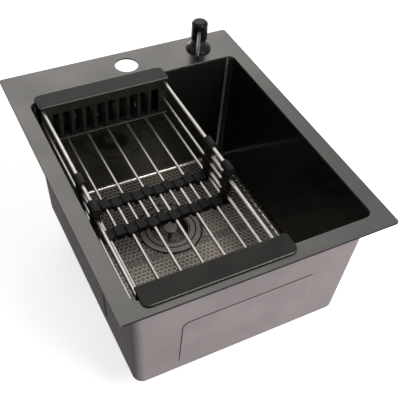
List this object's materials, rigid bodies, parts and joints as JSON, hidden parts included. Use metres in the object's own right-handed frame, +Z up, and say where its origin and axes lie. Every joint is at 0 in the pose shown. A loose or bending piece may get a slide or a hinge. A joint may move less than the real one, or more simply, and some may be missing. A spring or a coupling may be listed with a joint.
{
  "type": "kitchen sink",
  "caption": "Drop-in single-bowl kitchen sink in gunmetal steel with a tap hole, a basket strainer waste, a press soap dispenser and a telescopic drain rack",
  "frame": {"origin": "middle of the deck's footprint, on the deck's underside, just above the worktop", "axes": "+X to the right seen from the front, +Y to the rear where the tap ledge is, +Z up"},
  "size_m": [0.4, 0.5, 0.319],
  "materials": {
    "coated_steel": "satin gunmetal coating on stainless steel",
    "pad_rubber": "sound-deadening pad, sprayed over in the colour of the bowl",
    "drain_steel": "satin gunmetal coating on stainless steel",
    "seal_rubber": "moulded, matte",
    "fixing_plastic": "moulded",
    "dispenser_metal": "black coating, satin",
    "pump_plastic": "moulded",
    "spring_steel": "drawn wire",
    "bottle_plastic": "blow-moulded, milky",
    "spout_steel": "satin",
    "nozzle_plastic": "moulded",
    "rack_plastic": "moulded",
    "rod_steel": "polished"
  },
  "bodies": {
    "sink": {"bottle": "bottle_plastic", "bowl": "coated_steel", "check_ball": "spring_steel", "collar_gasket": "seal_rubber", "deck": "coated_steel", "dip_tube": "pump_plastic", "dispenser_collar": "dispenser_metal", "dispenser_nut": "fixing_plastic", "dispenser_washer": "fixing_plastic", "flange_seal": "seal_rubber", "friction_ring": "fixing_plastic", "pump_housing": "pump_plastic", "pump_spring": "spring_steel", "rim_seal": "seal_rubber", "sound_pad_front": "pad_rubber", "sound_pad_left": "pad_rubber", "sound_pad_rear": "pad_rubber", "sound_pad_right": "pad_rubber", "waste_body": "drain_steel", "waste_gasket": "seal_rubber", "waste_nut": "fixing_plastic"},
    "strainer": {"strainer_basket": "drain_steel", "stopper_seal": "seal_rubber", "post_nut": "drain_steel", "strainer_knob": "drain_steel"},
    "pump_plunger": {"plunger": "pump_plastic", "piston_seal": "seal_rubber"},
    "press_head": {"pump_head": "dispenser_metal", "spout": "spout_steel", "nozzle": "nozzle_plastic"},
    "rack_rear": {"rear_end_frame": "rack_plastic", "rear_floor_rod_1": "rod_steel", "rear_floor_rod_2": "rod_steel", "rear_floor_rod_3": "rod_steel", "rear_floor_rod_4": "rod_steel", "rear_floor_rod_5": "rod_steel", "rear_floor_rod_6": "rod_steel", "rear_floor_rod_7": "rod_steel", "rear_left_rail": "rod_steel", "rear_left_rod": "rod_steel", "rear_right_rail": "rod_steel", "rear_right_rod": "rod_steel", "front_band": "rack_plastic"},
    "rack_front": {"front_end_frame": "rack_plastic", "front_floor_rod_1": "rod_steel", "front_floor_rod_2": "rod_steel", "front_floor_rod_3": "rod_steel", "front_floor_rod_4": "rod_steel", "front_floor_rod_5": "rod_steel", "front_floor_rod_6": "rod_steel", "front_left_rail": "rod_steel", "front_left_rod": "rod_steel", "front_right_rail": "rod_steel", "front_right_rod": "rod_steel", "rear_band": "rack_plastic"}
  },
  "joints": [
    {"name": "strainer_lift", "type": "slide", "parent": "sink", "child": "strainer", "axis": [0, 0, 1], "range_m": [0, 0.06]},
    {"name": "pump_press", "type": "slide", "parent": "sink", "child": "pump_plunger", "axis": [0, 0, -1], "range_m": [0, 0.01], "stiffness_N_per_m": 400, "springref_m": -0.012, "deforming": ["pump_spring"]},
    {"name": "spout_swivel", "type": "hinge", "parent": "pump_plunger", "child": "press_head", "pos_m": [0.131, 0.214, 0.04], "axis": [0, 0, 1], "continuous": true},
    {"name": "rack_slide", "type": "slide", "parent": "sink", "child": "rack_rear", "axis": [1, 0, 0], "range_m": [-0.003, 0.117]},
    {"name": "rack_telescope", "type": "slide", "parent": "rack_rear", "child": "rack_front", "axis": [0, 1, 0], "range_m": [-0.001, 0.13]}
  ]
}
